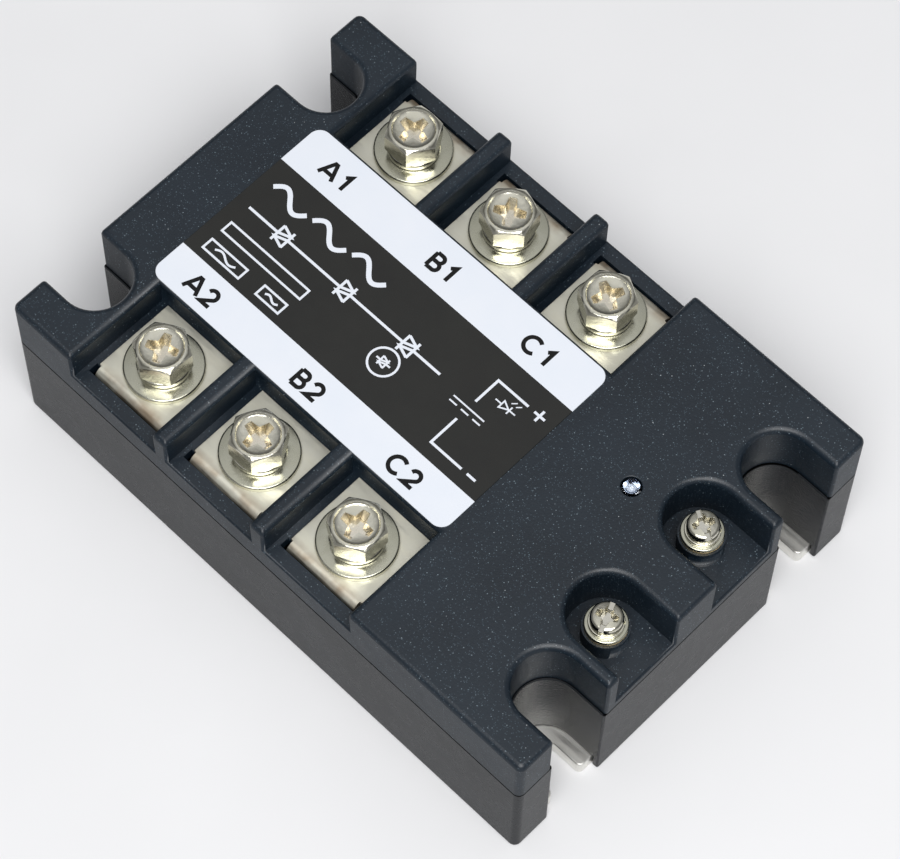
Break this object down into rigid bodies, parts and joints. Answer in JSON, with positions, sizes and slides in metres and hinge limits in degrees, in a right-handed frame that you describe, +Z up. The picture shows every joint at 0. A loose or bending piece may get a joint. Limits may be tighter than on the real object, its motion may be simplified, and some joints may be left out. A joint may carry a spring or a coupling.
{
  "type": "solid state relay",
  "caption": "Three-phase solid state relay: base plate, moulded case, power screw terminals in open bays, control screw terminals and a status lamp.",
  "frame": {"origin": "centre of the mounting face of the base plate", "axes": "+X towards the control terminals, +Y towards the A1-B1-C1 row, +Z up and away from the heat sink"},
  "size_m": [0.105, 0.073, 0.0327],
  "materials": {
    "plate_nickel": "satin nickel plating",
    "case_plastic": "fine textured dark blue-grey moulding",
    "housing_plastic": "fine textured dark grey moulding",
    "label_film": "printed polyester film, satin",
    "seal_resin": "cast resin",
    "white_ceramic": "fired alumina",
    "copper": "bare copper",
    "silicon": "metallised silicon",
    "board_laminate": "green solder mask",
    "pin_gold": "gilded",
    "component_black": "moulded epoxy",
    "resistor_body": "lacquered",
    "capacitor_case": "potted case",
    "lamp_clear": "clear epoxy",
    "tinned_wire": "tinned",
    "terminal_nickel": "satin nickel plating",
    "nickel_steel": "bright nickel plating",
    "terminal_brass": "plain brass"
  },
  "bodies": {
    "case": {"base_plate": "plate_nickel", "lower_housing": "housing_plastic", "top_cover": "case_plastic", "label": "label_film", "epoxy_seal": "seal_resin", "ceramic_a": "white_ceramic", "ceramic_b": "white_ceramic", "ceramic_c": "white_ceramic", "copper_pads": "copper", "thyristor_chips": "silicon", "jumper_clips": "copper", "circuit_board": "board_laminate", "gate_pins": "pin_gold", "optocouplers": "component_black", "gate_resistors": "resistor_body", "snubber_capacitors": "capacitor_case", "current_regulator": "component_black", "protection_diode": "component_black", "status_lamp": "lamp_clear", "lamp_leads": "tinned_wire", "terminal_a1": "terminal_nickel", "terminal_b1": "terminal_nickel", "terminal_c1": "terminal_nickel", "terminal_a2": "terminal_nickel", "terminal_b2": "terminal_nickel", "terminal_c2": "terminal_nickel", "terminal_nuts": "nickel_steel", "control_terminal_plus": "terminal_brass", "control_terminal_minus": "terminal_brass"},
    "washers_a1_set": {"flat_washer_a1": "nickel_steel", "spring_washer_a1": "nickel_steel"},
    "screw_a1_body": {"screw_a1": "nickel_steel"},
    "washers_b1_set": {"flat_washer_b1": "nickel_steel", "spring_washer_b1": "nickel_steel"},
    "screw_b1_body": {"screw_b1": "nickel_steel"},
    "washers_c1_set": {"flat_washer_c1": "nickel_steel", "spring_washer_c1": "nickel_steel"},
    "screw_c1_body": {"screw_c1": "nickel_steel"},
    "washers_a2_set": {"flat_washer_a2": "nickel_steel", "spring_washer_a2": "nickel_steel"},
    "screw_a2_body": {"screw_a2": "nickel_steel"},
    "washers_b2_set": {"flat_washer_b2": "nickel_steel", "spring_washer_b2": "nickel_steel"},
    "screw_b2_body": {"screw_b2": "nickel_steel"},
    "washers_c2_set": {"flat_washer_c2": "nickel_steel", "spring_washer_c2": "nickel_steel"},
    "screw_c2_body": {"screw_c2": "nickel_steel"},
    "control_washers_plus_set": {"control_flat_washer_plus": "nickel_steel", "control_spring_washer_plus": "nickel_steel"},
    "control_screw_plus_body": {"control_screw_plus": "nickel_steel"},
    "control_washers_minus_set": {"control_flat_washer_minus": "nickel_steel", "control_spring_washer_minus": "nickel_steel"},
    "control_screw_minus_body": {"control_screw_minus": "nickel_steel"}
  },
  "joints": [
    {"name": "lift_a1", "type": "slide", "parent": "case", "child": "washers_a1_set", "axis": [0, 0, 1], "range_m": [0, 0.008]},
    {"name": "turn_a1", "type": "hinge", "parent": "washers_a1_set", "child": "screw_a1_body", "pos_m": [-0.03105, 0.02675, 0.0284], "axis": [0, 0, 1], "range_deg": [0, 3600]},
    {"name": "lift_b1", "type": "slide", "parent": "case", "child": "washers_b1_set", "axis": [0, 0, 1], "range_m": [0, 0.008]},
    {"name": "turn_b1", "type": "hinge", "parent": "washers_b1_set", "child": "screw_b1_body", "pos_m": [-0.01075, 0.02675, 0.0284], "axis": [0, 0, 1], "range_deg": [0, 3600]},
    {"name": "lift_c1", "type": "slide", "parent": "case", "child": "washers_c1_set", "axis": [0, 0, 1], "range_m": [0, 0.008]},
    {"name": "turn_c1", "type": "hinge", "parent": "washers_c1_set", "child": "screw_c1_body", "pos_m": [0.00955, 0.02675, 0.0284], "axis": [0, 0, 1], "range_deg": [0, 3600]},
    {"name": "lift_a2", "type": "slide", "parent": "case", "child": "washers_a2_set", "axis": [0, 0, 1], "range_m": [0, 0.008]},
    {"name": "turn_a2", "type": "hinge", "parent": "washers_a2_set", "child": "screw_a2_body", "pos_m": [-0.03105, -0.02595, 0.0284], "axis": [0, 0, 1], "range_deg": [0, 3600]},
    {"name": "lift_b2", "type": "slide", "parent": "case", "child": "washers_b2_set", "axis": [0, 0, 1], "range_m": [0, 0.008]},
    {"name": "turn_b2", "type": "hinge", "parent": "washers_b2_set", "child": "screw_b2_body", "pos_m": [-0.01075, -0.02595, 0.0284], "axis": [0, 0, 1], "range_deg": [0, 3600]},
    {"name": "lift_c2", "type": "slide", "parent": "case", "child": "washers_c2_set", "axis": [0, 0, 1], "range_m": [0, 0.008]},
    {"name": "turn_c2", "type": "hinge", "parent": "washers_c2_set", "child": "screw_c2_body", "pos_m": [0.00955, -0.02595, 0.0284], "axis": [0, 0, 1], "range_deg": [0, 3600]},
    {"name": "control_lift_plus", "type": "slide", "parent": "case", "child": "control_washers_plus_set", "axis": [0, 0, 1], "range_m": [0, 0.006]},
    {"name": "control_turn_plus", "type": "hinge", "parent": "control_washers_plus_set", "child": "control_screw_plus_body", "pos_m": [0.0443, 0.0102, 0.0282], "axis": [0, 0, 1], "range_deg": [0, 4320]},
    {"name": "control_lift_minus", "type": "slide", "parent": "case", "child": "control_washers_minus_set", "axis": [0, 0, 1], "range_m": [0, 0.006]},
    {"name": "control_turn_minus", "type": "hinge", "parent": "control_washers_minus_set", "child": "control_screw_minus_body", "pos_m": [0.0443, -0.0102, 0.0282], "axis": [0, 0, 1], "range_deg": [0, 4320]}
  ],
  "couplings": [
    {"joint": "turn_a1", "follows": "lift_a1", "rad_per_m": 7854},
    {"joint": "turn_b1", "follows": "lift_b1", "rad_per_m": 7854},
    {"joint": "turn_c1", "follows": "lift_c1", "rad_per_m": 7854},
    {"joint": "turn_a2", "follows": "lift_a2", "rad_per_m": 7854},
    {"joint": "turn_b2", "follows": "lift_b2", "rad_per_m": 7854},
    {"joint": "turn_c2", "follows": "lift_c2", "rad_per_m": 7854},
    {"joint": "control_turn_plus", "follows": "control_lift_plus", "rad_per_m": 12566},
    {"joint": "control_turn_minus", "follows": "control_lift_minus", "rad_per_m": 12566}
  ]
}
